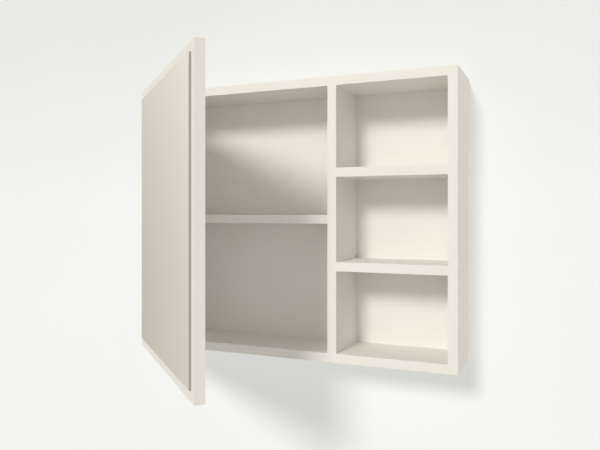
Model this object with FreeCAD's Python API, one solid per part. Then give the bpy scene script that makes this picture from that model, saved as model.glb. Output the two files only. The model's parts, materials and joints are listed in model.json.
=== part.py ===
"""Wall-hung bathroom cabinet: a bay behind a mirrored door, and an open bay of niches beside it.

Millimetres. The origin is the middle of the back, on the wall. X runs right, Y into the wall, Z up.
The door is drawn part open, as it hangs on its two concealed hinges.
"""
import FreeCAD, Part
import math
import os

from FreeCAD import Placement, Rotation, Vector

# Carcass boards
cabinet_width = 680.0
cabinet_height = 560.0
carcass_depth = 132.0
board_thickness = 18.0
niche_width = 215.0
niche_shelf_spacing = 184.0
edge_ease = 0.6

# Back panel, let into a rebate round the rear
back_thickness = 4.0
back_overlap = 9.0
back_clearance = 0.3

# Shelf behind the door, on pins in rows of holes
adjustable_shelf_height = 0.0
shelf_setback = 12.0
shelf_end_clearance = 1.0
shelf_back_clearance = 2.0
pin_row_inset = 37.0
pin_hole_pitch = 32.0
pin_holes_each_way = 2
pin_diameter = 5.0
pin_hole_depth = 10.0
pin_end_clearance = 1.0
pin_tongue_length = 9.0
pin_tongue_width = 9.0
pin_tongue_thickness = 2.0
pin_plate_height = 12.0
pin_plate_thickness = 1.5

# Dowels that join the boards
dowel_diameter = 8.0
dowel_length = 30.0
dowel_face_depth = 12.0
dowel_end_clearance = 1.0
dowel_inset = 30.0

# Screws that hold the back panel
back_screw_diameter = 3.0
back_screw_head_diameter = 6.0
back_screw_head_height = 1.6
back_screw_length = 18.0
back_screw_end_inset = 60.0
back_screw_count_across = 5
back_screw_count_upright = 2

# Keyhole hanger plates in the rear edges of the sides
hanger_plate_width = 15.0
hanger_plate_length = 54.0
hanger_plate_thickness = 2.0
hanger_plate_drop = 16.0
hanger_clearance = 0.1
hanger_zone_margin = 6.0
keyhole_diameter = 9.5
keyhole_slot_width = 5.0
keyhole_slot_rise = 10.0
keyhole_relief_depth = 12.0
keyhole_relief_margin = 1.0
hanger_screw_diameter = 3.5
hanger_screw_head_diameter = 6.6
hanger_screw_head_height = 1.6
hanger_screw_length = 25.0
hanger_screw_end_inset = 6.0

# Door and mirror. The door reaches past the divider, so that fingers can pull its edge from the niches.
door_overhang = 31.0
door_thickness = 18.0
door_reveal = 1.5
door_gap = 2.5
door_open_angle = 43.3
mirror_margin = 18.0
mirror_thickness = 3.0
mirror_arris = 0.6
adhesive_thickness = 0.5
adhesive_strip_width = 25.0
adhesive_strip_count = 4
adhesive_edge_inset = 20.0
bumper_diameter = 8.0
bumper_clearance = 0.2
bumper_end_inset = 60.0

# Concealed hinge: cup in the door
hinge_end_distance = 100.0
cup_diameter = 35.0
cup_edge_distance = 5.0
cup_depth = 11.5
cup_wall = 1.0
cup_bore_clearance = 0.5
cup_flange_thickness = 1.0
cup_flange_width = 23.0
cup_flange_length = 60.0
cup_flange_offset = 2.25
cup_flange_corner = 6.0
cup_saddle_width = 10.4
cup_saddle_start = 7.6
cup_saddle_top = 0.6
cup_saddle_height = 6.0
cup_screw_spacing = 45.0
cup_screw_offset = 9.0
cup_screw_diameter = 3.5
cup_screw_head_diameter = 6.5
cup_screw_head_height = 1.2
cup_screw_length = 13.0

# Concealed hinge: pivots. The arm's are measured from the side's inner face and the carcass front,
# the cup's from the door's hinged edge and its inner face.
main_arm_pivot_out = 6.5
main_arm_pivot_back = 2.5
guide_arm_pivot_out = 15.0
guide_arm_pivot_forward = 7.0
main_cup_pivot_in = 9.4
guide_cup_pivot_in = 14.6
cup_pivot_depth = 3.2
link_turn_ratio = 0.4
guide_link_turn = -2.3
guide_link_spare = 0.7
guide_eye_play = 1.7

# Concealed hinge: links, pins and arm
hinge_pin_diameter = 2.2
pin_running_clearance = 0.05
link_half_thickness = 1.0
link_eye_radius = 2.0
main_link_bulge = 5.6
main_link_half_width = 3.0
guide_link_thickness = 1.8
link_side_gap = 0.3
arm_side_gap = 0.4
arm_wall = 1.5
arm_bend = 1.3
arm_eye_radius = 3.2
arm_length = 64.0
arm_seat_height = 8.5
arm_foot_gap = 2.6
arm_web_start = 8.0
guide_eye_wall = 1.2
saddle_gap = 0.6

# Concealed hinge: mounting plate and its screws
plate_line = 37.0
plate_base_thickness = 2.0
plate_wing_length = 48.0
plate_wing_width = 18.0
plate_wing_flat = 2.0
plate_screw_spacing = 32.0
plate_screw_diameter = 5.0
plate_screw_head_diameter = 8.5
plate_screw_head_height = 1.6
plate_screw_depth = 11.0
plate_block_start = 22.0
plate_block_end = 60.0
plate_block_clearance = 0.2
arm_screw_diameter = 5.0
arm_screw_head_diameter = 8.0
arm_screw_head_height = 2.0
arm_screw_depth = 6.0
arm_front_screw_line = 29.0
arm_rear_screw_line = 48.0

# Planes of the carcass
left_x = -cabinet_width / 2
right_x = cabinet_width / 2
front_y = -carcass_depth
top_z = cabinet_height / 2
bottom_z = -cabinet_height / 2
inner_left = left_x + board_thickness
inner_right = right_x - board_thickness
inner_top = top_z - board_thickness
inner_bottom = bottom_z + board_thickness
divider_right = inner_right - niche_width
divider_left = divider_right - board_thickness
divider_middle = (divider_left + divider_right) / 2
back_face = -back_thickness
hanger_zone = hanger_plate_drop + hanger_plate_length + hanger_zone_margin
dowel_rows = (front_y + dowel_inset, -dowel_inset)

# Planes of the closed door
door_right = divider_right + door_overhang
door_back_y = front_y - door_gap
door_front_y = door_back_y - door_thickness
door_top = top_z - door_reveal
door_bottom = bottom_z + door_reveal
hinge_levels = (door_top - hinge_end_distance, door_bottom + hinge_end_distance)
cup_x = left_x + cup_edge_distance + cup_diameter / 2

# Two measures closer than this are the same
same_measure = 0.01

# Hinge pivots with the door closed
up = Vector(0, 0, 1)
pivot_y = door_back_y - cup_pivot_depth
main_arm_pivot = Vector(inner_left + main_arm_pivot_out, front_y + main_arm_pivot_back, 0)
guide_arm_pivot = Vector(inner_left + guide_arm_pivot_out, front_y - guide_arm_pivot_forward, 0)
main_cup_pivot = Vector(left_x + main_cup_pivot_in, pivot_y, 0)
guide_cup_pivot = Vector(left_x + guide_cup_pivot_in, pivot_y, 0)
pin_radius = hinge_pin_diameter / 2

# Levels across the hinge, from its middle outwards: main link, guide links, arm walls, cup saddles
guide_link_near = main_link_half_width + link_side_gap
guide_link_far = guide_link_near + guide_link_thickness
arm_wall_near = guide_link_far + arm_side_gap
arm_wall_far = arm_wall_near + arm_wall
saddle_near = guide_link_far + saddle_gap

# The main link turns one way as the door turns the other way on its far end
link_pose = Placement(Vector(), Rotation(up, link_turn_ratio * door_open_angle), main_arm_pivot)
door_on_link = Placement(Vector(), Rotation(up, -(1 + link_turn_ratio) * door_open_angle), main_cup_pivot)
door_pose = link_pose.multiply(door_on_link)


def block(x0, x1, y0, y1, z0, z1):
    """A block between two corners."""
    return Part.makeBox(x1 - x0, y1 - y0, z1 - z0, Vector(x0, y0, z0))


def rod(diameter, start, end):
    """A round rod from one point to another."""
    axis = end - start
    return Part.makeCylinder(diameter / 2, axis.Length, start, axis)


def countersunk_screw(diameter, head_diameter, head_height, length, place, way):
    """A screw whose flat head lies flush at place, its shank pointing along way."""
    head = Part.makeCone(head_diameter / 2, diameter / 2, head_height, place, way)
    return head.fuse(Part.makeCylinder(diameter / 2, length, place, way)).removeSplitter()


def flat_head_screw(diameter, head_diameter, head_height, length, place, way):
    """A screw whose cylinder head stands on the surface at place, its shank pointing along way."""
    head = Part.makeCylinder(head_diameter / 2, head_height, place - way * head_height, way)
    return head.fuse(Part.makeCylinder(diameter / 2, length, place, way)).removeSplitter()


def eased(shape, chosen):
    """The shape with a small round on each straight edge whose middle passes the test."""
    edges = [edge for edge in shape.Edges if chosen(edge.CenterOfMass)]
    return shape.makeFillet(edge_ease, edges)


def near(a, b):
    """Whether two measures are the same."""
    return math.isclose(a, b, abs_tol=same_measure)


def mirrored(shape):
    """The same shape on the other side of the hinge's middle level."""
    return shape.mirror(Vector(), up)


def posed(shape, pose):
    """A copy of the shape carried to its place by a pose."""
    moved = shape.copy()
    moved.Placement = pose.multiply(moved.Placement)
    return moved


def at_hinges(shape):
    """A copy of the shape at each hinge's level."""
    return [posed(shape, Placement(Vector(0, 0, level), Rotation())) for level in hinge_levels]


def carried(shapes):
    """The closed door's shapes, swung open with the door."""
    return [posed(shape, door_pose) for shape in shapes]


def without(shape, cutters):
    """The shape with every cutter taken out of it."""
    return shape.cut(Part.makeCompound(cutters))


def evenly(first, last, count):
    """Count positions from first to last, both included."""
    step = (last - first) / (count - 1)
    return [first + step * index for index in range(count)]


def dowel_and_hole(face_point, way):
    """A dowel that enters a board's face at face_point against way, and its slightly deeper hole."""
    free_length = dowel_length - dowel_face_depth
    start = face_point - way * dowel_face_depth
    end = face_point + way * free_length
    hole_start = start - way * dowel_end_clearance
    hole_end = end + way * dowel_end_clearance
    return rod(dowel_diameter, start, end), rod(dowel_diameter, hole_start, hole_end)


def split_pairs(pairs):
    """Two lists from a list of pairs."""
    return [pair[0] for pair in pairs], [pair[1] for pair in pairs]


def corner_dowels():
    """Two dowels at each end of the top and the bottom, lying along X."""
    levels = ((inner_top + top_z) / 2, (inner_bottom + bottom_z) / 2)
    sides = ((inner_left, Vector(1, 0, 0)), (inner_right, Vector(-1, 0, 0)))
    return split_pairs([dowel_and_hole(Vector(x, y, z), way)
                        for x, way in sides for y in dowel_rows for z in levels])


def divider_dowels():
    """Two upright dowels at each end of the divider."""
    ends = ((inner_top, Vector(0, 0, -1)), (inner_bottom, up))
    return split_pairs([dowel_and_hole(Vector(divider_middle, y, z), way)
                        for z, way in ends for y in dowel_rows])


def niche_shelf_dowels():
    """Two dowels at each end of both niche shelves."""
    ends = ((divider_right, Vector(1, 0, 0)), (inner_right, Vector(-1, 0, 0)))
    levels = (niche_shelf_spacing / 2, -niche_shelf_spacing / 2)
    return split_pairs([dowel_and_hole(Vector(x, y, z), way)
                        for x, way in ends for y in dowel_rows for z in levels])


def shelf_pin_level():
    """The height of the pins' middle: the shelf lies on the top of their tongues."""
    return adjustable_shelf_height - board_thickness / 2 - pin_diameter / 2


def shelf_pin(face_x, y, way):
    """A pin with its shank in the board and an angle plate whose tongue carries the shelf."""
    level = shelf_pin_level()
    crown = level + pin_diameter / 2
    face = Vector(face_x, y, level)
    shank = rod(pin_diameter, face - Vector(way * (pin_hole_depth - pin_end_clearance), 0, 0), face)

    def leaf(reach, drop):
        ends = sorted((face_x, face_x + way * reach))
        half_width = pin_tongue_width / 2
        return block(ends[0], ends[1], y - half_width, y + half_width, crown - drop, crown)

    plate = leaf(pin_plate_thickness, pin_plate_height)
    tongue = leaf(pin_tongue_length, pin_tongue_thickness)
    return shank.fuse([plate, tongue]).removeSplitter()


def shelf_pin_rows():
    """Where the four rows of shelf pin holes are: face, direction into the bay, distance back."""
    rows = (front_y + pin_row_inset, back_face - pin_row_inset)
    return [(x, way, y) for x, way in ((inner_left, 1), (divider_left, -1)) for y in rows]


def shelf_pin_holes():
    """Rows of holes above and below the level of the pins in use."""
    steps = range(-pin_holes_each_way, pin_holes_each_way + 1)
    holes = []
    for x, way, y in shelf_pin_rows():
        for step in steps:
            mouth = Vector(x, y, shelf_pin_level() + step * pin_hole_pitch)
            holes.append(rod(pin_diameter, mouth - Vector(way * pin_hole_depth, 0, 0), mouth))
    return holes


def back_panel_screws():
    """Countersunk screws through the back panel's rim into the carcass boards and the divider."""
    rim = back_overlap / 2
    first_x = inner_left + back_screw_end_inset
    last_x = inner_right - back_screw_end_inset
    rows_x = evenly(first_x, last_x, back_screw_count_across)
    low_z = inner_bottom + back_screw_end_inset
    high_z = top_z - hanger_zone - back_screw_end_inset
    rows_z = evenly(low_z, high_z, back_screw_count_upright)
    places = [(x, z) for x in rows_x for z in (inner_bottom - rim, inner_top + rim)]
    places += [(x, z) for x in (inner_left - rim, divider_middle, inner_right + rim) for z in rows_z]
    forward = Vector(0, -1, 0)
    return [countersunk_screw(back_screw_diameter, back_screw_head_diameter, back_screw_head_height,
                              back_screw_length, Vector(x, 0, z), forward) for x, z in places]


def hanger_centres():
    """The middle of each hanger plate on the sides' rear edges."""
    level = top_z - hanger_plate_drop - hanger_plate_length / 2
    return [Vector(x, 0, level) for x in ((left_x + inner_left) / 2, (inner_right + right_x) / 2)]


def hanger_block(centre, grow):
    """A round-ended plate in the rear edge, grown by grow all round its outline."""
    half = hanger_plate_width / 2 + grow
    reach = hanger_plate_length / 2 - hanger_plate_width / 2
    depth = hanger_plate_thickness
    rear = Vector(0, -depth, 0)
    plate = block(centre.x - half, centre.x + half, -depth, 0, centre.z - reach, centre.z + reach)
    ends = [Part.makeCylinder(half, depth, centre + rear + up * rise, Vector(0, 1, 0))
            for rise in (-reach, reach)]
    return plate.fuse(ends).removeSplitter()


def keyhole_cut(centre):
    """A keyhole: a round entry with a narrower slot that rises from it."""
    low = centre - up * (keyhole_slot_rise / 2)
    high = centre + up * (keyhole_slot_rise / 2)
    depth = hanger_plate_thickness
    rear = Vector(0, -depth, 0)
    half = keyhole_slot_width / 2
    entry = Part.makeCylinder(keyhole_diameter / 2, depth, low + rear, Vector(0, 1, 0))
    slot = block(centre.x - half, centre.x + half, -depth, 0, low.z, high.z)
    crown = Part.makeCylinder(half, depth, high + rear, Vector(0, 1, 0))
    return entry.fuse([slot, crown]).removeSplitter()


def keyhole_relief(centre):
    """The pocket behind a keyhole where the wall screw's head travels, with round ends."""
    radius = keyhole_diameter / 2 + keyhole_relief_margin
    depth = keyhole_relief_depth
    rear = Vector(0, -depth, 0)
    low = centre - up * (keyhole_slot_rise / 2)
    high = centre + up * (keyhole_slot_rise / 2)
    ends = [Part.makeCylinder(radius, depth, end + rear, Vector(0, 1, 0)) for end in (low, high)]
    run = block(centre.x - radius, centre.x + radius, -depth, 0, low.z, high.z)
    return run.fuse(ends).removeSplitter()


def hanger_screws():
    """Two countersunk screws in each hanger plate."""
    reach = hanger_plate_length / 2 - hanger_screw_end_inset
    forward = Vector(0, -1, 0)
    return [countersunk_screw(hanger_screw_diameter, hanger_screw_head_diameter, hanger_screw_head_height,
                              hanger_screw_length, centre + up * rise, forward)
            for centre in hanger_centres() for rise in (-reach, reach)]


def hanger_plates():
    """The two keyhole plates, flush with the sides' rear edges."""
    holes = hanger_screws() + [keyhole_cut(centre) for centre in hanger_centres()]
    return [without(hanger_block(centre, 0), holes) for centre in hanger_centres()]


def hanger_cuts():
    """What the hangers need out of the sides: plate pockets, head reliefs and pilot holes."""
    pockets = [hanger_block(centre, hanger_clearance) for centre in hanger_centres()]
    reliefs = [keyhole_relief(centre) for centre in hanger_centres()]
    return pockets + reliefs + hanger_screws()


def hinge_plate_screws():
    """Two screws through each mounting plate's wings into the left side."""
    seat = inner_left + plate_base_thickness
    into_side = Vector(-1, 0, 0)
    length = plate_base_thickness + plate_screw_depth
    half = plate_screw_spacing / 2
    return [flat_head_screw(plate_screw_diameter, plate_screw_head_diameter, plate_screw_head_height, length,
                            Vector(seat, front_y + plate_line, level + rise), into_side)
            for level in hinge_levels for rise in (-half, half)]


def arm_seat():
    """The plane on which an arm lies on its mounting plate's block."""
    return inner_left + arm_seat_height


def hinge_arm_screws():
    """The screws that hold each arm on its plate's block."""
    seat = arm_seat() + arm_wall
    lines = (front_y + arm_front_screw_line, front_y + arm_rear_screw_line)
    return [flat_head_screw(arm_screw_diameter, arm_screw_head_diameter, arm_screw_head_height,
                            arm_wall + arm_screw_depth, Vector(seat, line, level), Vector(-1, 0, 0))
            for level in hinge_levels for line in lines]


def hinge_mounting_plates():
    """Winged plates on the left side, each with a block that the arm is clamped on."""
    base = inner_left + plate_base_thickness
    half_wing = plate_wing_width / 2
    line = front_y + plate_line
    half_block = arm_wall_near - plate_block_clearance
    half_length = plate_wing_length / 2
    wings = block(inner_left, base, line - half_wing, line + half_wing, -half_length, half_length)
    wing_corners = [edge for edge in wings.Edges if near(edge.Length, plate_base_thickness)]
    wings = wings.makeFillet(half_wing - plate_wing_flat / 2, wing_corners)
    block_front = front_y + plate_block_start
    block_rear = front_y + plate_block_end
    riser = block(inner_left, arm_seat(), block_front, block_rear, -half_block, half_block)
    plate = wings.fuse(riser).removeSplitter()
    screws = hinge_plate_screws() + hinge_arm_screws()
    return [without(shape, screws) for shape in at_hinges(plate)]


def bar(start, end, start_radius, end_radius, half_thickness, low, high):
    """A flat bar with a round eye at both ends, lying between two levels."""
    run = end - start
    across = Vector(-run.y, run.x, 0).normalize() * half_thickness
    corners = [start + across, end + across, end - across, start - across, start + across]
    width = high - low
    shank = Part.Face(Part.makePolygon(corners)).extrude(up * width)
    eyes = [Part.makeCylinder(start_radius, width, start), Part.makeCylinder(end_radius, width, end)]
    body = shank.fuse(eyes).removeSplitter()
    body.translate(up * low)
    return body


def hinge_arm():
    """A channel that lies over the plate's block and forks into two walls that hold the pivot pins."""
    crown = arm_seat() + arm_wall
    foot = inner_left + arm_foot_gap
    rear = front_y + arm_length
    web_front = front_y + arm_web_start
    width = 2 * arm_wall_far
    eye_reach = Vector(arm_eye_radius, 0, 0)
    shoulder = main_arm_pivot - eye_reach
    outline = [shoulder, Vector(foot, web_front, 0), Vector(foot, rear, 0), Vector(crown, rear, 0),
               Vector(crown, web_front, 0), guide_arm_pivot + eye_reach, guide_arm_pivot, shoulder]
    body = Part.Face(Part.makePolygon(outline)).extrude(up * width)
    bends = [edge for edge in body.Edges
             if near(edge.CenterOfMass.x, crown) and near(edge.Length, rear - web_front)]
    body = body.makeFillet(arm_bend, bends)
    body.translate(-up * arm_wall_far)
    nose = bar(main_arm_pivot, guide_arm_pivot, arm_eye_radius, arm_eye_radius, arm_eye_radius,
               -arm_wall_far, arm_wall_far)
    past_nose = guide_arm_pivot + Vector(1, -1, 0) * (2 * arm_eye_radius)
    fork = block(inner_left, past_nose.x, past_nose.y, web_front, -arm_wall_near, arm_wall_near)
    channel = block(inner_left, arm_seat(), web_front, rear, -arm_wall_near, arm_wall_near)
    return body.fuse(nose).removeSplitter().cut(fork).cut(channel)


def hinge_arm_pins():
    """Two pivot pins across each arm's fork."""
    reach = up * arm_wall_far
    pivots = (main_arm_pivot, guide_arm_pivot)
    pins = [rod(hinge_pin_diameter, pivot - reach, pivot + reach) for pivot in pivots]
    return [pin for shape in pins for pin in at_hinges(shape)]


def hinge_arms():
    """The two arms, bored for their pins and their screws."""
    return [without(arm, hinge_arm_pins() + hinge_arm_screws()) for arm in at_hinges(hinge_arm())]


def main_link():
    """The curved link: a strip on an arc that bulges round the rim of the cup, with an eye at each end."""
    run = main_cup_pivot - main_arm_pivot
    half_chord = run.Length / 2
    aside = Vector(-run.y, run.x, 0).normalize()
    radius = (half_chord ** 2 + main_link_bulge ** 2) / (2 * main_link_bulge)
    centre = main_arm_pivot + run * 0.5 + aside * (main_link_bulge - radius)
    width = 2 * main_link_half_width

    def arc_points(reach):
        ends = [centre + (pivot - centre).normalize() * reach for pivot in (main_arm_pivot, main_cup_pivot)]
        return ends[0], centre + aside * reach, ends[1]

    outer = arc_points(radius + link_half_thickness)
    inner = arc_points(radius - link_half_thickness)
    outline = [Part.Arc(*outer).toShape(), Part.makeLine(outer[2], inner[2]),
               Part.Arc(inner[2], inner[1], inner[0]).toShape(), Part.makeLine(inner[0], outer[0])]
    strip = Part.Face(Part.Wire(outline)).extrude(up * width)
    eyes = [Part.makeCylinder(link_eye_radius, width, pivot) for pivot in (main_arm_pivot, main_cup_pivot)]
    bore = pin_radius + pin_running_clearance
    bores = [Part.makeCylinder(bore, width, pivot) for pivot in (main_arm_pivot, main_cup_pivot)]
    link = without(strip.fuse(eyes).removeSplitter(), bores)
    link.translate(-up * main_link_half_width)
    return link


def main_links():
    """The curved links, turned as far as the door is open."""
    return [posed(link, link_pose) for link in at_hinges(main_link())]


def guide_links():
    """Pairs of straight links pivoted in the cup. The eye round the arm's pin is wide, because the true
    linkage is closed there and its turn isn't quite even."""
    pivot = door_pose.multVec(guide_cup_pivot)
    run = guide_arm_pivot - pivot
    run = Rotation(up, guide_link_turn).multVec(run)
    tip = pivot + run.normalize() * ((guide_arm_pivot - pivot).Length + guide_link_spare)
    play = pin_radius + guide_eye_play
    link = bar(pivot, tip, link_eye_radius, play + guide_eye_wall, link_half_thickness,
               guide_link_near, guide_link_far)
    bores = [Part.makeCylinder(pin_radius + pin_running_clearance, guide_link_far, pivot),
             Part.makeCylinder(play, guide_link_far, tip)]
    link = without(link, bores)
    return [shape for side in (link, mirrored(link)) for shape in at_hinges(side)]


def cup_shell(radius, front, rear):
    """A round of the cup's axis between two planes."""
    return Part.makeCylinder(radius, rear - front, Vector(cup_x, front, 0), Vector(0, 1, 0))


def hinge_cup():
    """A pressed cup with a winged flange on the door's inner face and two saddles for the pivot pins."""
    radius = cup_diameter / 2
    floor = door_back_y - cup_depth
    flange_face = door_back_y + cup_flange_thickness
    half_width = cup_flange_width / 2
    half_length = cup_flange_length / 2
    flange_middle = cup_x + cup_flange_offset
    flange = block(flange_middle - half_width, flange_middle + half_width, door_back_y, flange_face,
                   -half_length, half_length)
    corners = [edge for edge in flange.Edges if near(edge.Length, cup_flange_thickness)]
    flange = flange.makeFillet(cup_flange_corner, corners)
    hollow = cup_shell(radius - cup_wall, floor + cup_wall, flange_face)
    shell = cup_shell(radius, floor, door_back_y).fuse(flange).cut(hollow)
    saddle_left = left_x + cup_saddle_start
    saddle_rear = door_back_y - cup_saddle_top
    saddle = block(saddle_left, saddle_left + cup_saddle_width, saddle_rear - cup_saddle_height, saddle_rear,
                   saddle_near, radius)
    saddle = saddle.common(cup_shell(radius, floor, door_back_y))
    return shell.fuse([saddle, mirrored(saddle)]).removeSplitter()


def saddle_reach(pivot):
    """How far from the middle a pin reaches into its saddle: to the cup's wall."""
    return math.sqrt((cup_diameter / 2 - cup_wall) ** 2 - (pivot.x - cup_x) ** 2)


def cup_pins():
    """The main pin across the cup, and a stub pin in each saddle for the guide links."""
    main_reach = up * saddle_reach(main_cup_pivot)
    main = rod(hinge_pin_diameter, main_cup_pivot - main_reach, main_cup_pivot + main_reach)
    stub = rod(hinge_pin_diameter, guide_cup_pivot + up * (guide_link_near - link_side_gap / 2),
               guide_cup_pivot + up * saddle_reach(guide_cup_pivot))
    return [pin for shape in (main, stub, mirrored(stub)) for pin in at_hinges(shape)]


def cup_screws():
    """Two screws through each cup's flange into the door."""
    half = cup_screw_spacing / 2
    x = cup_x + cup_screw_offset
    face = door_back_y + cup_flange_thickness
    return [flat_head_screw(cup_screw_diameter, cup_screw_head_diameter, cup_screw_head_height,
                            cup_screw_length, Vector(x, face, level + rise), Vector(0, -1, 0))
            for level in hinge_levels for rise in (-half, half)]


def hinge_cups():
    """The two cups, bored for their pins and screws."""
    return [without(cup, cup_pins() + cup_screws()) for cup in at_hinges(hinge_cup())]


def door_panel():
    """The door's slab, with its edges eased and a bore for each hinge cup."""
    slab = block(left_x, door_right, door_front_y, door_back_y, door_bottom, door_top)
    slab = slab.makeFillet(edge_ease, slab.Edges)
    bore = cup_shell(cup_diameter / 2, door_back_y - cup_depth - cup_bore_clearance, door_back_y)
    return without(slab, at_hinges(bore) + cup_screws())


def mirror_faces():
    """The mirror's edges on the closed door: left, right, bottom and top."""
    return (left_x + mirror_margin, door_right - mirror_margin,
            door_bottom + mirror_margin, door_top - mirror_margin)


def mirror_pane():
    """The silvered pane on the door's outer face, with a ground arris round its front."""
    left, right, low, high = mirror_faces()
    rear = door_front_y - adhesive_thickness
    front = rear - mirror_thickness
    pane = block(left, right, front, rear, low, high)
    return pane.makeChamfer(mirror_arris, [edge for edge in pane.Edges if near(edge.CenterOfMass.y, front)])


def adhesive_strips():
    """Upright strips of mirror adhesive between the pane and the door."""
    left, right, low, high = mirror_faces()
    half = adhesive_strip_width / 2
    inset = adhesive_edge_inset + half
    foot = low + adhesive_edge_inset
    head = high - adhesive_edge_inset
    return [block(x - half, x + half, door_front_y - adhesive_thickness, door_front_y, foot, head)
            for x in evenly(left + inset, right - inset, adhesive_strip_count)]


def door_bumpers():
    """Soft domes on the door's inner face that meet the divider's front edge."""
    rise = door_gap - bumper_clearance
    radius = bumper_diameter / 2
    ball = (radius ** 2 + rise ** 2) / (2 * rise)
    rim_latitude = math.degrees(math.asin((ball - rise) / ball))
    levels = (door_top - bumper_end_inset, door_bottom + bumper_end_inset)
    centres = [Vector(divider_middle, door_back_y + rise - ball, level) for level in levels]
    return [Part.makeSphere(ball, centre, Vector(0, 1, 0), rim_latitude, 90, 360) for centre in centres]


def side_panel(outer_x, inner_x, rebate_x, holes):
    """A side, its outer edges and front corners eased, its rebate for the back stopped below the hanger."""
    low_x, high_x = sorted((outer_x, inner_x))
    rebate_low, rebate_high = sorted((inner_x, rebate_x))
    side = block(low_x, high_x, front_y, 0, bottom_z, top_z)
    side = eased(side, lambda middle: near(middle.x, outer_x)
                 or (near(middle.y, front_y) and abs(middle.z) > inner_top))
    rebate = block(rebate_low, rebate_high, back_face, 0, inner_bottom - back_overlap, top_z - hanger_zone)
    return without(side, [rebate] + holes)


def cross_panel(low, high, outer_level, rebate_low, rebate_high, holes):
    """The top or the bottom board between the sides, rebated for the back."""
    board = block(inner_left, inner_right, front_y, 0, low, high)
    board = eased(board, lambda middle: near(middle.y, front_y) and near(middle.z, outer_level))
    rebate = block(inner_left, inner_right, back_face, 0, rebate_low, rebate_high)
    return without(board, [rebate] + holes)


def divider_panel(holes):
    """The upright between the closed bay and the niches."""
    return without(block(divider_left, divider_right, front_y, back_face, inner_bottom, inner_top), holes)


def niche_shelf(level, holes):
    """A fixed shelf, flush with the carcass front."""
    half = board_thickness / 2
    return without(block(divider_right, inner_right, front_y, back_face, level - half, level + half), holes)


def adjustable_shelf():
    """The loose shelf behind the door."""
    level = adjustable_shelf_height
    half = board_thickness / 2
    front = front_y + shelf_setback
    rear = back_face - shelf_back_clearance
    left = inner_left + shelf_end_clearance
    right = divider_left - shelf_end_clearance
    shelf = block(left, right, front, rear, level - half, level + half)
    return eased(shelf, lambda middle: near(middle.y, front) and not near(middle.z, level))


def back_panel(screws):
    """The thin back, notched at its upper corners round the hangers."""
    reach = back_overlap - back_clearance
    panel = block(inner_left - reach, inner_right + reach, back_face, 0,
                  inner_bottom - reach, inner_top + reach)
    notch_foot = top_z - hanger_zone - back_clearance
    left_notch = block(left_x, inner_left + back_clearance, back_face, 0, notch_foot, top_z)
    right_notch = block(inner_right - back_clearance, right_x, back_face, 0, notch_foot, top_z)
    return without(panel, [left_notch, right_notch] + screws)


def build():
    """Every piece of the cabinet, by name."""
    corner, corner_holes = corner_dowels()
    upright, upright_holes = divider_dowels()
    shelf, shelf_holes = niche_shelf_dowels()
    screws = back_panel_screws()
    pin_holes = shelf_pin_holes()
    hangers = hanger_cuts()
    niche_level = niche_shelf_spacing / 2
    return {
        "left_side_panel": side_panel(left_x, inner_left, inner_left - back_overlap,
                                      corner_holes + pin_holes + screws + hangers + hinge_plate_screws()),
        "right_side_panel": side_panel(right_x, inner_right, inner_right + back_overlap,
                                       corner_holes + shelf_holes + screws + hangers),
        "top_panel": cross_panel(inner_top, top_z, top_z, inner_top, inner_top + back_overlap,
                                 corner_holes + upright_holes + screws),
        "bottom_panel": cross_panel(bottom_z, inner_bottom, bottom_z, inner_bottom - back_overlap,
                                    inner_bottom, corner_holes + upright_holes + screws),
        "divider_panel": divider_panel(upright_holes + shelf_holes + pin_holes + screws),
        "upper_niche_shelf": niche_shelf(niche_level, shelf_holes),
        "lower_niche_shelf": niche_shelf(-niche_level, shelf_holes),
        "adjustable_shelf": adjustable_shelf(),
        "back_panel": back_panel(screws),
        "carcass_dowels": corner,
        "divider_dowels": upright,
        "niche_shelf_dowels": shelf,
        "back_panel_screws": screws,
        "shelf_pins": [shelf_pin(x, y, way) for x, way, y in shelf_pin_rows()],
        "hanger_plates": hanger_plates(),
        "hanger_plate_screws": hanger_screws(),
        "hinge_mounting_plates": hinge_mounting_plates(),
        "hinge_plate_screws": hinge_plate_screws(),
        "hinge_arms": hinge_arms(),
        "hinge_arm_screws": hinge_arm_screws(),
        "hinge_arm_pins": hinge_arm_pins(),
        "hinge_main_links": main_links(),
        "hinge_guide_links": guide_links(),
        "hinge_cups": carried(hinge_cups()),
        "hinge_cup_pins": carried(cup_pins()),
        "hinge_cup_screws": carried(cup_screws()),
        "door_panel": carried([door_panel()]),
        "mirror_pane": carried([mirror_pane()]),
        "mirror_adhesive_strips": carried(adhesive_strips()),
        "door_bumpers": carried(door_bumpers()),
    }


os.makedirs("parts", exist_ok=True)
for node, made in build().items():
    shape = Part.makeCompound(made) if isinstance(made, list) else made
    shape.exportStep("parts/" + node + ".step")
    print(node, len(shape.Solids), "solids", round(shape.Volume), "mm3")
print("main link pivot", main_arm_pivot, "door pivot", door_pose.multVec(main_cup_pivot))
print("guide link pivot", door_pose.multVec(guide_cup_pivot))
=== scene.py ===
"""Dresses the mirrored cabinet: lacquered boards, silvered glass and plated hardware in soft daylight."""
import json
import math

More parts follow.
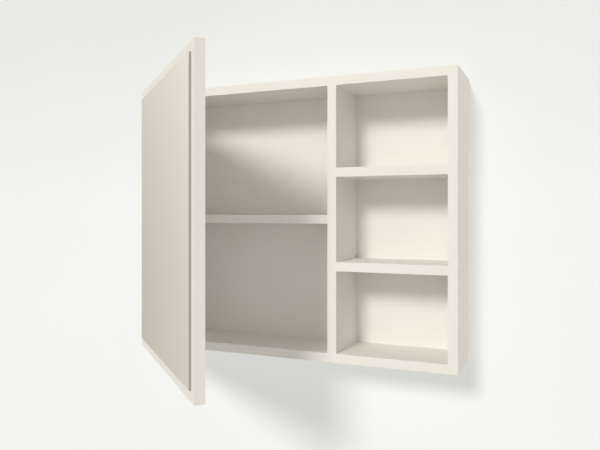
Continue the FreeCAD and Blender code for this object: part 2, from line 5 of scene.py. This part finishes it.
import bpy
import numpy as np
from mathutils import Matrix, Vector


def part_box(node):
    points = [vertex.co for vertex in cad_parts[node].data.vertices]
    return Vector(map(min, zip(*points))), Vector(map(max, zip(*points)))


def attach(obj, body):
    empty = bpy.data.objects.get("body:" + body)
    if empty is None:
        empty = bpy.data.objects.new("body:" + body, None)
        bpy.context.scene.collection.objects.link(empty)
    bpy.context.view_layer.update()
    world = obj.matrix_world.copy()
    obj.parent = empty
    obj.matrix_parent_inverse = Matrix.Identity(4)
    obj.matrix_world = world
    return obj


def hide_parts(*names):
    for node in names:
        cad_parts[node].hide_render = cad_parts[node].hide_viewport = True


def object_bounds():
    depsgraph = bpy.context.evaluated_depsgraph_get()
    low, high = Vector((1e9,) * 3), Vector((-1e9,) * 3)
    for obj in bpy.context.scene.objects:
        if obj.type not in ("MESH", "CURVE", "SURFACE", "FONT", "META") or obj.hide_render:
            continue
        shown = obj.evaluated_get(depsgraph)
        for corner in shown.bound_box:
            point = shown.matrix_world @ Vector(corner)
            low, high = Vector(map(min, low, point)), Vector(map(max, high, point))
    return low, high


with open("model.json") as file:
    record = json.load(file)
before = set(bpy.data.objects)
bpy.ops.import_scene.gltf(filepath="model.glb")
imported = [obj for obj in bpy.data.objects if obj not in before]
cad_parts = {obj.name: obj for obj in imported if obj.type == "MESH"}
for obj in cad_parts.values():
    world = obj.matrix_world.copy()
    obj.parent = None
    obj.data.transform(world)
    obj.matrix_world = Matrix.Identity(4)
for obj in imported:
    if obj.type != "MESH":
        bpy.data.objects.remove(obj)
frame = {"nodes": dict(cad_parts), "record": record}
cad_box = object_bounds()

# Camera, in the photograph's 600 x 450 frame
frame_width_px = 600.0
frame_height_px = 450.0
focal_px = 621.3
horizon_px = 213.2
camera_turn_deg = 23.31
camera_level_deg = 90.0
camera_right_of_side = 0.1814
camera_before_front = 1.1391
camera_height = 0.0121
sensor_width_mm = 36.0

# Directions: away from the room, and from the left side panel into the cabinet
rear = (0.0, 1.0, 0.0)
inside_of_side = (1.0, 0.0, 0.0)

# Patterns: noise lies mostly within this span
noise_span = (0.35, 0.65)

# Lacquer. Here and below, patterns are in cycles per metre and relief is in metres
lacquer_tones = ((0.900, 0.878, 0.836), (0.890, 0.867, 0.824))
lacquer_cloud = 7.0
lacquer_gloss_cloud = 45.0
lacquer_rough = (0.46, 0.56)
lacquer_specular = 0.35
orange_peel = 700.0
orange_peel_relief = 0.00004

# Back board: lacquer in front, bare hardboard behind
back_tones = ((0.920, 0.900, 0.862), (0.910, 0.889, 0.850))
fibre_pale = (0.300, 0.205, 0.125)
fibre_dark_tones = ((0.190, 0.122, 0.070), (0.240, 0.158, 0.093))
fibre_pattern = 900.0
fibre_stretch = (1.0, 1.0, 0.3)
fibre_blotch = 30.0
fibre_span = (0.30, 0.70)
rear_turn = (0.4, 0.6)

# Mirror
silver_colour = (0.93, 0.922, 0.905)
silver_rough = 0.02
glass_edge_colour = (0.43, 0.410, 0.370)
glass_edge_rough = 0.45
mirror_front_turn = (0.90, 0.98)

# Plated steel, beech, adhesive and silicone
screw_zinc = (0.80, 0.80, 0.78)
plate_zinc = (0.78, 0.78, 0.77)
hinge_nickel = (0.70, 0.68, 0.64)
pin_steel = (0.52, 0.52, 0.52)
drawn_lines = 3500.0
drawn_line_relief = 0.000004
drawn_line_shade = 0.93
drawn_upright = (1.0, 1.0, 0.1)
drawn_along_arm = (1.0, 0.15, 1.0)
plating_cloud = 160.0
plating_rough_spread = 0.09
beech_tones = ((0.58, 0.40, 0.24), (0.40, 0.25, 0.14))
beech_fleck = 420.0
beech_fleck_stretch = (0.15, 1.0, 1.0)
beech_fleck_span = (0.45, 0.70)
beech_rough = 0.65
adhesive_colour = (0.06, 0.06, 0.06)
silicone_colour = (0.86, 0.87, 0.87)
polymer_mottle = 300.0
polymer_mottle_shade = 0.9
silicone_index = 1.41

# Screws with a cross slot. Reach, width and rim are parts of the head's radius, depth is part of its height,
# and the floor is part of the slot's edge
slot_reach = 0.60
slot_half_width = 0.15
slot_floor = 0.72
slot_depth = 0.62
head_rim = 0.08
screw_steps_per_quarter = 12
screw_turn_seed = 5
smooth_below_deg = 35.0

# How screws are found: points in one zone are one head's, and levels closer than this are the same
head_zone = 0.0095
same_level = 0.00001
level_decimals = 5

# Backdrop: a wall behind the cabinet that curves into a floor
wall_gap = 0.0005
wall_half_width = 14.0
wall_top = 6.0
floor_level = -1.35
floor_reach = 12.0
cove_radius = 0.5
cove_steps = 12
wall_tones = ((0.672, 0.690, 0.700), (0.662, 0.680, 0.690))
wall_mottle = 3.0
wall_rough = 0.9
wall_specular = 0.1
# Painted light: the backdrop glows in this colour, which lifts the cabinet's shadow on it, and glows less
# high up, a painted shade towards the top
wall_glow_colour = (0.97, 1.0, 0.98)
wall_own_light = 0.282
wall_light_high_up = 0.200
wall_light_change = (0.05, 0.50)

# Daylight
key_direction = Vector((-0.127, -0.883, 0.455))
key_strength = 1.54
key_spread_deg = 14.0
key_colour = (1.0, 0.976, 0.928)
fill_level = 0.495
fill_slope = (0.03, 5.4, -0.10)
fill_wall_reach = 0.10
fill_colour = (1.0, 0.978, 0.940)

# What the mirror and the plated steel reflect: a warm room that darkens towards the wall and the floor
room_level = 0.684
room_slope = (0.0, -2.2, 0.35)
room_wall_turn = 0.525
room_wall_reach = 0.13
room_colour = (1.0, 0.955, 0.845)
room_floor_shade = 0.42
room_floor_turn = (0.08, -0.22)
room_side_turn = (0.38, 0.22)

# What the camera sees past the backdrop
studio_colour = (0.880, 0.892, 0.868)


class Nodes:
    """A node tree, with short ways to add its nodes. Each value is fixed, or another node's output."""

    def __init__(self, tree):
        self.tree = tree
        self.coordinates = self.add("TexCoord")

    def add(self, kind, **settings):
        """A new node of a kind with its properties set."""
        node = self.tree.nodes.new("ShaderNode" + kind)
        for name, setting in settings.items():
            setattr(node, name, setting)
        return node

    def put(self, value, target):
        """Gives an input its value."""
        if isinstance(value, bpy.types.NodeSocket):
            self.tree.links.new(value, target)
        else:
            target.default_value = value

    def between(self, factor, low, high, start=noise_span[0], end=noise_span[1], curve="LINEAR"):
        """A number that runs from low to high while factor runs from start to end."""
        node = self.add("MapRange", interpolation_type=curve)
        for name, value in (("Value", factor), ("From Min", start), ("From Max", end),
                            ("To Min", low), ("To Max", high)):
            self.put(value, node.inputs[name])
        return node.outputs["Result"]

    def combine(self, operation, first, second):
        """A sum or product of two numbers."""
        node = self.add("Math", operation=operation)
        self.put(first, node.inputs[0])
        self.put(second, node.inputs[1])
        return node.outputs["Value"]

    def vector(self, operation, first, second, result="Vector"):
        """An operation on two vectors."""
        node = self.add("VectorMath", operation=operation)
        self.put(first, node.inputs[0])
        self.put(second, node.inputs[1])
        return node.outputs[result]

    def part(self, vector, axis):
        """A vector's part along X, Y or Z."""
        node = self.add("SeparateXYZ")
        self.put(vector, node.inputs["Vector"])
        return node.outputs[axis]

    def either(self, factor, first, second):
        """Goes from one shader to another as factor goes from 0 to 1."""
        node = self.add("MixShader")
        for value, target in zip((factor, first, second), node.inputs):
            self.put(value, target)
        return node.outputs["Shader"]


class Finish(Nodes):
    """A material on one Principled shader."""

    def __init__(self, name):
        self.material = bpy.data.materials.new(name)
        self.material.use_nodes = True
        super().__init__(self.material.node_tree)
        self.shader = self.tree.nodes["Principled BSDF"]

    def set(self, **values):
        """Sets values on the shader's own inputs, named with underscores."""
        for name, value in values.items():
            self.put(value, self.shader.inputs[name.replace("_", " ")])
        return self

    def noise(self, scale, detail=2.0, stretch=(1.0, 1.0, 1.0)):
        """Noise on Object coordinates; scale is in cycles per metre."""
        mapping = self.add("Mapping")
        self.put(stretch, mapping.inputs["Scale"])
        self.put(self.coordinates.outputs["Object"], mapping.inputs["Vector"])
        texture = self.add("TexNoise")
        self.put(scale, texture.inputs["Scale"])
        self.put(detail, texture.inputs["Detail"])
        self.put(mapping.outputs["Vector"], texture.inputs["Vector"])
        return texture.outputs["Fac"]

    def mix(self, factor, first, second):
        """A colour between two, each three numbers or another node's output."""
        node = self.add("Mix", data_type="RGBA")
        self.put(factor, node.inputs["Factor"])
        for name, colour in (("A", first), ("B", second)):
            target = next(s for s in node.inputs if s.name == name and s.type == "RGBA")
            self.put((*colour, 1.0) if isinstance(colour, tuple) else colour, target)
        return next(s for s in node.outputs if s.type == "RGBA")

    def facing(self, direction, start, end):
        """Runs from 0 to 1 as the surface turns towards a direction."""
        turn = self.vector("DOT_PRODUCT", self.coordinates.outputs["Normal"], direction, "Value")
        return self.between(turn, 0.0, 1.0, start, end)

    def bump(self, height, relief):
        """Raises the surface by the relief where height is 1."""
        node = self.add("Bump")
        self.put(relief, node.inputs["Distance"])
        self.put(height, node.inputs["Height"])
        self.set(Normal=node.outputs["Normal"])


class Sky(Nodes):
    """A world in which a direction gives a brightness."""

    def __init__(self, name):
        world = bpy.data.worlds.new(name)
        world.use_nodes = True
        bpy.context.scene.world = world
        super().__init__(world.node_tree)
        self.tree.nodes.remove(self.tree.nodes["Background"])
        self.direction = self.coordinates.outputs["Generated"]

    def held(self, vector, low, high):
        """A vector with each of its parts held between two limits."""
        return self.vector("MINIMUM", self.vector("MAXIMUM", vector, low), high)

    def sloped(self, level, slope, vector):
        """A level plus a vector's part along a slope."""
        return self.combine("ADD", self.vector("DOT_PRODUCT", vector, slope, "Value"), level)

    def glow(self, colour, strength):
        """Light of a colour."""
        node = self.add("Background")
        self.put((*colour, 1.0), node.inputs["Color"])
        self.put(strength, node.inputs["Strength"])
        return node.outputs["Background"]


def sprayed_colour(finish, tones):
    """Gives a finish the orange peel and uneven gloss of matt lacquer, and returns its clouded colour."""
    gloss = finish.between(finish.noise(lacquer_gloss_cloud, detail=3.0), *lacquer_rough)
    finish.set(Roughness=gloss, Specular_IOR_Level=lacquer_specular)
    finish.bump(finish.noise(orange_peel), orange_peel_relief)
    return finish.mix(finish.between(finish.noise(lacquer_cloud, detail=3.0), 0.0, 1.0), *tones)


def cream_lacquer():
    """Matt sprayed lacquer all over."""
    finish = Finish("cream_lacquer")
    return finish.set(Base_Color=sprayed_colour(finish, lacquer_tones)).material


def back_board():
    """Thin hardboard: lacquered in front, and bare pressed fibre with a brown mottle behind."""
    finish = Finish("back_board")
    fibre = finish.between(finish.noise(fibre_pattern, 6.0, fibre_stretch), 0.0, 1.0, *fibre_span)
    blotch = finish.between(finish.noise(fibre_blotch, detail=4.0), 0.0, 1.0, *fibre_span)
    bare = finish.mix(fibre, fibre_pale, finish.mix(blotch, *fibre_dark_tones))
    behind = finish.facing(rear, *rear_turn)
    return finish.set(Base_Color=finish.mix(behind, sprayed_colour(finish, back_tones), bare)).material


def mirror_glass(outward):
    """Silvered glass. Its front is a mirror, and the ground edges are dull and darker."""
    finish = Finish("mirror_glass")
    front = finish.facing(outward, *mirror_front_turn)
    return finish.set(Base_Color=finish.mix(front, glass_edge_colour, silver_colour), Metallic=front,
                      Roughness=finish.between(front, glass_edge_rough, silver_rough, 0.0, 1.0)).material


def plated_steel(name, colour, rough, drawn=(1.0, 1.0, 1.0)):
    """Plated steel with fine lines, drawn out along the axis whose scale is small, and a gloss that clouds
    over a few millimetres."""
    finish = Finish(name)
    lines = finish.between(finish.noise(drawn_lines, stretch=drawn), 0.0, 1.0)
    in_lines = tuple(drawn_line_shade * c for c in colour)
    cloud = finish.noise(plating_cloud, detail=3.0)
    finish.bump(lines, drawn_line_relief)
    return finish.set(Base_Color=finish.mix(lines, colour, in_lines), Metallic=1.0,
                      Roughness=finish.between(cloud, rough, rough + plating_rough_spread)).material


def beech():
    """Bare beech: short darker flecks along the dowels."""
    finish = Finish("beech")
    fleck = finish.between(finish.noise(beech_fleck, 4.0, beech_fleck_stretch), 0.0, 1.0, *beech_fleck_span)
    return finish.set(Base_Color=finish.mix(fleck, *beech_tones), Roughness=beech_rough).material


def soft_polymer(name, colour, rough, clear=0.0):
    """Set adhesive or silicone with a faint mottle, solid or partly clear."""
    finish = Finish(name)
    mottle = finish.between(finish.noise(polymer_mottle), 0.0, 1.0)
    darker = tuple(polymer_mottle_shade * c for c in colour)
    return finish.set(Base_Color=finish.mix(mottle, colour, darker), Roughness=rough,
                      Transmission_Weight=clear, IOR=silicone_index).material


def front_normal(node):
    """The normal of a node's largest face, on the side away from the wall."""
    polygons = frame["nodes"][node].data.polygons
    areas = np.empty(len(polygons))
    normals = np.empty(len(polygons) * 3)
    polygons.foreach_get("area", areas)
    polygons.foreach_get("normal", normals)
    normal = normals.reshape(-1, 3)[areas.argmax()]
    return normal if normal[1] < 0 else -normal


def finish_nodes(mirror_outward):
    """Gives each piece of the frame the finish of its material slot, and returns the finishes by slot."""
    finishes = {
        "lacquer": cream_lacquer(),
        "back_lacquer": back_board(),
        "dowel_wood": beech(),
        "zinc_screws": plated_steel("zinc_screws", screw_zinc, rough=0.30),
        "zinc_plate": plated_steel("zinc_plate", plate_zinc, rough=0.28, drawn=drawn_upright),
        "nickel_steel": plated_steel("nickel_steel", hinge_nickel, rough=0.18, drawn=drawn_along_arm),
        "hardened_pins": plated_steel("ground_pins", pin_steel, rough=0.22, drawn=drawn_upright),
        "mirror_glass": mirror_glass(mirror_outward),
        "mirror_adhesive": soft_polymer("mirror_adhesive", adhesive_colour, rough=0.6),
        "clear_silicone": soft_polymer("clear_silicone", silicone_colour, rough=0.30, clear=0.75),
    }
    for subpart in frame["record"]["subparts"]:
        mesh = frame["nodes"][subpart["node"]].data
        mesh.materials.clear()
        mesh.materials.append(finishes[subpart["material_slot"]])
    return finishes


def new_piece(name, points, faces, material):
    """An object with a mesh of those points and faces."""
    mesh = bpy.data.meshes.new(name)
    mesh.from_pydata(points.reshape(-1, 3), [], faces)
    mesh.materials.append(material)
    piece = bpy.data.objects.new(name, mesh)
    bpy.context.scene.collection.objects.link(piece)
    return piece


def screw_heads(node, out):
    """The head centres of a node's screws, and the outline they share: depth below the head, and radius."""
    vertices = frame["nodes"][node].data.vertices
    points = np.empty(len(vertices) * 3)
    vertices.foreach_get("co", points)
    points = points.reshape(-1, 3)
    height = points @ out
    rims = points[height > height.max() - same_level]
    centres = []
    while len(rims):
        near = np.linalg.norm(rims - rims[0], axis=1) < head_zone
        centres.append((rims[near].min(0) + rims[near].max(0)) / 2)
        rims = rims[~near]
    offset = points - centres[0]
    depth = -(offset @ out)
    radius = np.linalg.norm(offset + depth[:, None] * out, axis=1)
    own = np.stack((depth, -radius), 1)[radius < head_zone / 2]
    outline = np.unique(np.round(own, level_decimals), axis=0)
    return np.array(centres), outline[:, 0], -outline[:, 1]


def screw_rings(depth, radius):
    """Angles round a screw, the radius of its rings at each angle, and their depths. The rings are the
    slot's floor and edge, the head's rim, and then the screw's outline. The slot's edge is the polar form
    of a plus: the nearer of a wing's end, reach / cos, and its side, half width / sin, with the angle
    folded into an eighth of a turn. The slot's floor is a smaller plus."""
    head_radius = radius[0]
    slot_bottom = slot_depth * depth[depth > same_level].min()
    columns = 4 * screw_steps_per_quarter
    angle = np.arange(columns) * 2 * math.pi / columns
    folded = np.abs((angle + math.pi / 4) % (math.pi / 2) - math.pi / 4)
    wing_end = slot_reach / np.cos(folded)
    wing_side = slot_half_width / np.maximum(np.sin(folded), slot_half_width)
    edge = head_radius * np.minimum(wing_end, wing_side)
    rim = head_rim * head_radius
    round_radii = np.concatenate(([head_radius - rim], radius))
    round_rings = np.broadcast_to(round_radii[:, None], (len(round_radii), columns))
    depths = np.concatenate(([slot_bottom, 0.0, 0.0, rim], depth[1:]))
    return angle, np.concatenate((slot_floor * edge[None], edge[None], round_rings)), depths


def cross_slotted_screws(node, out, body, material, turns):
    """Screws in place of a node's plain ones: rings carried round each screw's axis, joined by four-sided
    faces, with a fan of triangles over the slot's floor and another over the tip. Each screw is turned at
    random, as a driver leaves it."""
    centres, depth, radius = screw_heads(node, out)
    angle, radii, depths = screw_rings(depth, radius)
    aside = np.cross((0.0, 0.0, 1.0), out)
    up = np.cross(out, aside)
    around = angle[None, :] + turns.uniform(0.0, math.pi / 2, len(centres))[:, None]
    spoke = np.cos(around)[..., None] * aside + np.sin(around)[..., None] * up
    rings = (centres[:, None, None, :] + radii[None, ..., None] * spoke[:, None]
             - depths[None, :, None, None] * out)
    tops = centres - depths[0] * out
    tips = centres - depths[-1] * out
    points = np.concatenate((tops[:, None], rings.reshape(len(centres), -1, 3), tips[:, None]), 1)

    corner = 1 + np.arange(radii.size).reshape(radii.shape)
    after = np.roll(corner, -1, axis=1)
    quads = np.stack((corner[:-1], corner[1:], after[1:], after[:-1]), -1).reshape(-1, 4)
    top_fan = np.stack((np.zeros_like(corner[0]), corner[0], after[0]), -1)
    tip_fan = np.stack((np.full_like(corner[-1], radii.size + 1), after[-1], corner[-1]), -1)
    first = np.arange(len(centres))[:, None, None] * points.shape[1]
    triangles = (first + np.concatenate((top_fan, tip_fan))).reshape(-1, 3)
    faces = [*triangles.tolist(), *(first + quads).reshape(-1, 4).tolist()]
    piece = new_piece(node + "_slotted", points, faces, material)
    piece.data.polygons.foreach_set("use_smooth", np.ones(len(faces), bool))
    piece.data.set_sharp_from_angle(angle=math.radians(smooth_below_deg))
    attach(piece, body)
    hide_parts(node)


def fit_screws(finishes, mirror_outward):
    """Slotted screws on every node of screws, with their heads on the side that a driver comes from."""
    turns = np.random.default_rng(screw_turn_seed)
    for node, out, body in (("back_panel_screws", rear, "carcass"),
                            ("hanger_plate_screws", rear, "carcass"),
                            ("hinge_plate_screws", inside_of_side, "carcass"),
                            ("hinge_arm_screws", inside_of_side, "carcass"),
                            ("hinge_cup_screws", -mirror_outward, "door")):
        slot = next(s["material_slot"] for s in frame["record"]["subparts"] if s["node"] == node)
        cross_slotted_screws(node, np.array(out), body, finishes[slot], turns)


def backdrop_paint():
    """Pale wall paint that glows with painted light of its own. The glow lifts the cabinet's shadow on it,
    and is weaker high up, a painted shade towards the top. It is seen only from the front, so that views
    from behind look through it."""
    finish = Finish("backdrop_paint")
    mottle = finish.between(finish.noise(wall_mottle), 0.0, 1.0)
    height = finish.part(finish.coordinates.outputs["Object"], "Z")
    own_light = finish.between(height, wall_own_light, wall_light_high_up, *wall_light_change)
    finish.set(Base_Color=finish.mix(mottle, *wall_tones), Roughness=wall_rough,
               Specular_IOR_Level=wall_specular, Emission_Color=(*wall_glow_colour, 1.0),
               Emission_Strength=own_light)
    behind = finish.add("NewGeometry").outputs["Backfacing"]
    clear = finish.add("BsdfTransparent").outputs["BSDF"]
    seen = finish.either(behind, finish.shader.outputs["BSDF"], clear)
    finish.put(seen, finish.tree.nodes["Material Output"].inputs["Surface"])
    return finish.material


def backdrop():
    """A profile of wall, quarter-round cove and floor, carried straight along X. Lights and reflections
    pass it by, so it only takes the cabinet's shadow."""
    wall_y = cad_box[1].y + wall_gap
    turn = np.linspace(0.0, math.pi / 2, cove_steps + 1)
    cove_y = wall_y - cove_radius + cove_radius * np.cos(turn)
    cove_z = floor_level + cove_radius - cove_radius * np.sin(turn)
    profile_y = np.concatenate(([wall_y], cove_y, [wall_y - floor_reach]))
    profile_z = np.concatenate(([wall_top], cove_z, [floor_level]))
    across = np.array([-wall_half_width, wall_half_width])
    points = np.stack(np.broadcast_arrays(across[None, :], profile_y[:, None], profile_z[:, None]), -1)
    corner = np.arange(2 * len(profile_y)).reshape(-1, 2)
    faces = np.stack((corner[:-1, 0], corner[1:, 0], corner[1:, 1], corner[:-1, 1]), -1)
    piece = new_piece("backdrop", points, faces, backdrop_paint())
    piece.visible_shadow = False
    piece.visible_diffuse = False
    piece.visible_glossy = False


def key_light():
    """A soft low sun from the front."""
    light = bpy.data.lights.new("key", "SUN")
    light.energy = key_strength
    light.angle = math.radians(key_spread_deg)
    light.color = key_colour
    key = bpy.data.objects.new("key", light)
    key.rotation_euler = key_direction.to_track_quat("Z", "Y").to_euler()
    bpy.context.scene.collection.objects.link(key)


def fill_light(sky):
    """Light that is even in front and rises on the wall's side, as if the wall threw it back."""
    from_wall = sky.held(sky.direction, (-1.0, 0.0, -1.0), (1.0, fill_wall_reach, 1.0))
    return sky.glow(fill_colour, sky.sloped(fill_level, fill_slope, from_wall))


def reflected_room(sky):
    """A room that dims over a short turn towards the wall, with a shaded floor on the side away from it."""
    past_turn = sky.vector("SUBTRACT", sky.direction, (0.0, room_wall_turn, 0.0))
    near_turn = sky.held(past_turn, (0.0, -room_wall_reach, -1.0), (0.0, room_wall_reach, 1.0))
    lit = sky.glow(room_colour, sky.sloped(room_level, room_slope, near_turn))
    away = sky.between(sky.part(sky.direction, "Y"), 0.0, 1.0, *room_side_turn, "SMOOTHSTEP")
    low = sky.between(sky.part(sky.direction, "Z"), 0.0, room_floor_shade, *room_floor_turn, "SMOOTHSTEP")
    return sky.either(sky.combine("MULTIPLY", away, low), lit, sky.glow(room_colour, 0.0))


def daylight():
    """A sun, and a sky in which the fill lights all surfaces, the room is what shiny surfaces reflect, and
    a plain studio is what the camera sees past the backdrop."""
    key_light()
    sky = Sky("studio")
    ray = sky.add("LightPath").outputs
    around = sky.either(ray["Is Glossy Ray"], fill_light(sky), reflected_room(sky))
    seen = sky.either(ray["Is Camera Ray"], around, sky.glow(studio_colour, 1.0))
    sky.put(seen, sky.tree.nodes["World Output"].inputs["Surface"])


def photograph_camera():
    """The photograph's camera: level, turned to the left, its horizon above the picture's middle."""
    data = bpy.data.cameras.new("camera")
    data.sensor_width = sensor_width_mm
    data.lens = focal_px / frame_width_px * sensor_width_mm
    data.shift_y = (horizon_px - frame_height_px / 2) / frame_width_px
    camera = bpy.data.objects.new("camera", data)
    low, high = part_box("right_side_panel")
    camera.location = (high.x + camera_right_of_side, low.y - camera_before_front, camera_height)
    camera.rotation_euler = (math.radians(camera_level_deg), 0.0, math.radians(camera_turn_deg))
    bpy.context.scene.collection.objects.link(camera)
    bpy.context.scene.camera = camera


mirror_outward = front_normal("mirror_pane")
finishes = finish_nodes(mirror_outward)
fit_screws(finishes, mirror_outward)
backdrop()
daylight()
photograph_camera()
bpy.context.scene.view_settings.view_transform = "Standard"
